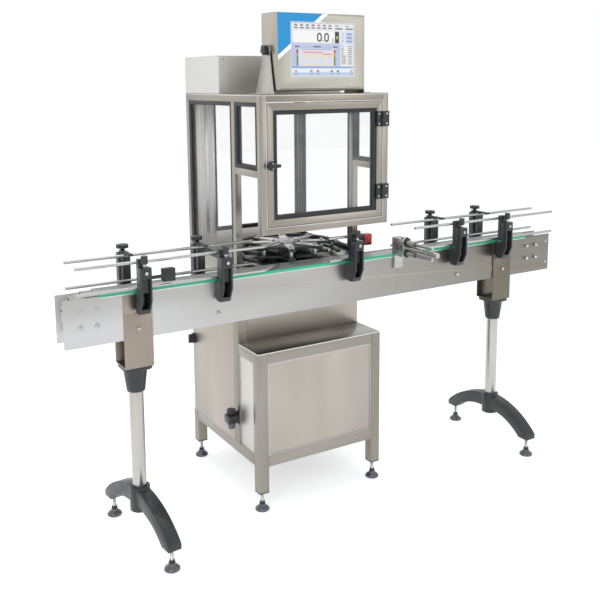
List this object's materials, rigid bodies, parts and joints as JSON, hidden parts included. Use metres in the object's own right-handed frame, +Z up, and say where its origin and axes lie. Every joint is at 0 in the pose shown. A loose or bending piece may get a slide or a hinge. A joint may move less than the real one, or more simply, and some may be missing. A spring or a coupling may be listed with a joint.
{
  "type": "checkweigher",
  "caption": "Star-wheel checkweigher: a slat-chain conveyor on bipod legs runs past a steel cabinet whose glazed guard covers the star wheel and weighing plate.",
  "frame": {"origin": "on the floor under the middle of the whole machine", "axes": "+X along the chain from infeed to outfeed, +Y from the operator's side to the back, +Z up"},
  "size_m": [2.16, 0.8219, 1.812],
  "materials": {
    "brushed_stainless": "satin brushed stainless steel",
    "bright_steel": "polished stainless steel",
    "black_polyamide": "glass-filled polyamide, matt",
    "slat_acetal": "grey acetal",
    "green_wear_strip": "green polyethylene",
    "rubber_seal": "black rubber",
    "clear_pane": "clear",
    "display_glass": "lit display",
    "grey_foot": "dark grey moulded",
    "motor_paint": "cast, painted",
    "red_sensor": "moulded"
  },
  "bodies": {
    "machine": {"conveyor_side_plates": "brushed_stainless", "wear_strips": "green_wear_strip", "chain_slats": "slat_acetal", "end_bearings": "black_polyamide", "conveyor_fasteners": "bright_steel", "drive_motors": "motor_paint", "leg_channels": "brushed_stainless", "leg_collars": "black_polyamide", "leg_tubes": "brushed_stainless", "base_frame": "brushed_stainless", "base_panels": "brushed_stainless", "base_feet": "grey_foot", "cover_plates": "brushed_stainless", "weigh_platform": "bright_steel", "outer_guide": "black_polyamide", "upper_frame": "brushed_stainless", "window_seals": "rubber_seal", "window_panes": "clear_pane", "cable_duct": "brushed_stainless", "control_box": "brushed_stainless", "frame_hinge_leaves": "black_polyamide", "terminal_bracket": "brushed_stainless", "guide_brackets": "black_polyamide", "pusher_housing": "bright_steel", "photo_sensors": "red_sensor", "air_regulator": "black_polyamide", "main_switch": "black_polyamide"},
    "idler": {"idler_sprocket": "grey_foot"},
    "drive": {"drive_sprocket": "grey_foot"},
    "star_wheel": {"star_discs": "black_polyamide", "star_hub": "bright_steel"},
    "door": {"door_frame": "brushed_stainless", "door_seal": "rubber_seal", "door_pane": "clear_pane", "door_hinge_leaves": "black_polyamide"},
    "door_latch": {"door_handle": "black_polyamide"},
    "terminal": {"terminal_case": "brushed_stainless", "terminal_screen": "display_glass"},
    "tilt_clamp_left": {"tilt_knob_left": "black_polyamide"},
    "tilt_clamp_right": {"tilt_knob_right": "black_polyamide"},
    "pusher": {"pusher_slide": "bright_steel"},
    "guide_infeed_front": {"rails_infeed_front": "bright_steel", "clamps_infeed_front": "black_polyamide"},
    "guide_infeed_rear": {"rails_infeed_rear": "bright_steel", "clamps_infeed_rear": "black_polyamide"},
    "guide_outfeed_front": {"rails_outfeed_front": "bright_steel", "clamps_outfeed_front": "black_polyamide"},
    "guide_outfeed_rear": {"rails_outfeed_rear": "bright_steel", "clamps_outfeed_rear": "black_polyamide"},
    "guide_centre": {"centre_guide": "bright_steel"},
    "regulator_dial": {"regulator_knob": "black_polyamide"},
    "switch_dial": {"switch_knob": "black_polyamide"},
    "leg_left": {"bipod_left": "black_polyamide", "bipod_feet_left": "grey_foot"},
    "leg_right": {"bipod_right": "black_polyamide", "bipod_feet_right": "grey_foot"},
    "guide_clamp_1": {"guide_knob_1": "black_polyamide"},
    "guide_clamp_2": {"guide_knob_2": "black_polyamide"},
    "guide_clamp_3": {"guide_knob_3": "black_polyamide"},
    "guide_clamp_4": {"guide_knob_4": "black_polyamide"}
  },
  "joints": [
    {"name": "idler_spin", "type": "hinge", "parent": "machine", "child": "idler", "pos_m": [-0.9985, -0.1195, 0.83137], "axis": [0, 1, 0], "continuous": true},
    {"name": "drive_spin", "type": "hinge", "parent": "machine", "child": "drive", "pos_m": [0.97016, -0.1195, 0.83137], "axis": [0, 1, 0], "continuous": true},
    {"name": "star_spin", "type": "hinge", "parent": "machine", "child": "star_wheel", "pos_m": [-0.15, 0.0405, 0.904], "axis": [0, 0, 1], "continuous": true},
    {"name": "door_hinge", "type": "hinge", "parent": "machine", "child": "door", "pos_m": [0.12, -0.221, 1.072], "axis": [0, 0, 1], "range_deg": [0, 110]},
    {"name": "door_latch_turn", "type": "hinge", "parent": "door", "child": "door_latch", "pos_m": [-0.3565, -0.2145, 1.288], "axis": [0, 1, 0], "range_deg": [0, 90]},
    {"name": "terminal_tilt", "type": "hinge", "parent": "machine", "child": "terminal", "pos_m": [-0.312, -0.1295, 1.684], "axis": [1, 0, 0], "range_deg": [-20, 20]},
    {"name": "tilt_clamp_left_turn", "type": "hinge", "parent": "terminal", "child": "tilt_clamp_left", "pos_m": [-0.312, -0.1295, 1.684], "axis": [1, 0, 0], "continuous": true},
    {"name": "tilt_clamp_right_turn", "type": "hinge", "parent": "terminal", "child": "tilt_clamp_right", "pos_m": [0.058, -0.1295, 1.684], "axis": [1, 0, 0], "continuous": true},
    {"name": "pusher_stroke", "type": "slide", "parent": "machine", "child": "pusher", "axis": [0, 1, 0], "range_m": [0, 0.07]},
    {"name": "regulator_turn", "type": "hinge", "parent": "machine", "child": "regulator_dial", "pos_m": [-0.421, 0.0005, 0.326], "axis": [0, 0, 1], "range_deg": [-150, 150]},
    {"name": "switch_turn", "type": "hinge", "parent": "machine", "child": "switch_dial", "pos_m": [-0.396, 0.3875, 0.521], "axis": [1, 0, 0], "range_deg": [0, 90]},
    {"name": "leg_left_height", "type": "slide", "parent": "machine", "child": "leg_left", "axis": [0, 0, 1], "range_m": [0, 0.06]},
    {"name": "leg_right_height", "type": "slide", "parent": "machine", "child": "leg_right", "axis": [0, 0, 1], "range_m": [0, 0.06]},
    {"name": "guide_infeed_front_set", "type": "slide", "parent": "machine", "child": "guide_infeed_front", "axis": [0, 1, 0], "range_m": [-0.003, 0.025]},
    {"name": "guide_outfeed_front_set", "type": "slide", "parent": "machine", "child": "guide_outfeed_front", "axis": [0, 1, 0], "range_m": [-0.003, 0.025]},
    {"name": "guide_infeed_rear_set", "type": "slide", "parent": "machine", "child": "guide_infeed_rear", "axis": [0, -1, 0], "range_m": [-0.003, 0.025]},
    {"name": "guide_outfeed_rear_set", "type": "slide", "parent": "machine", "child": "guide_outfeed_rear", "axis": [0, -1, 0], "range_m": [-0.003, 0.025]},
    {"name": "guide_centre_set", "type": "slide", "parent": "machine", "child": "guide_centre", "axis": [0, 1, 0], "range_m": [-0.003, 0.012]},
    {"name": "guide_clamp_1_turn", "type": "hinge", "parent": "machine", "child": "guide_clamp_1", "pos_m": [-0.83, -0.0205, 1.0126], "axis": [0, 0, 1], "continuous": true},
    {"name": "guide_clamp_2_turn", "type": "hinge", "parent": "machine", "child": "guide_clamp_2", "pos_m": [-0.555, -0.0205, 1.0126], "axis": [0, 0, 1], "continuous": true},
    {"name": "guide_clamp_3_turn", "type": "hinge", "parent": "machine", "child": "guide_clamp_3", "pos_m": [0.518, -0.0205, 1.0126], "axis": [0, 0, 1], "continuous": true},
    {"name": "guide_clamp_4_turn", "type": "hinge", "parent": "machine", "child": "guide_clamp_4", "pos_m": [0.77, -0.0205, 1.0126], "axis": [0, 0, 1], "continuous": true}
  ],
  "couplings": [
    {"joint": "idler_spin", "follows": "drive_spin", "ratio": 1}
  ]
}
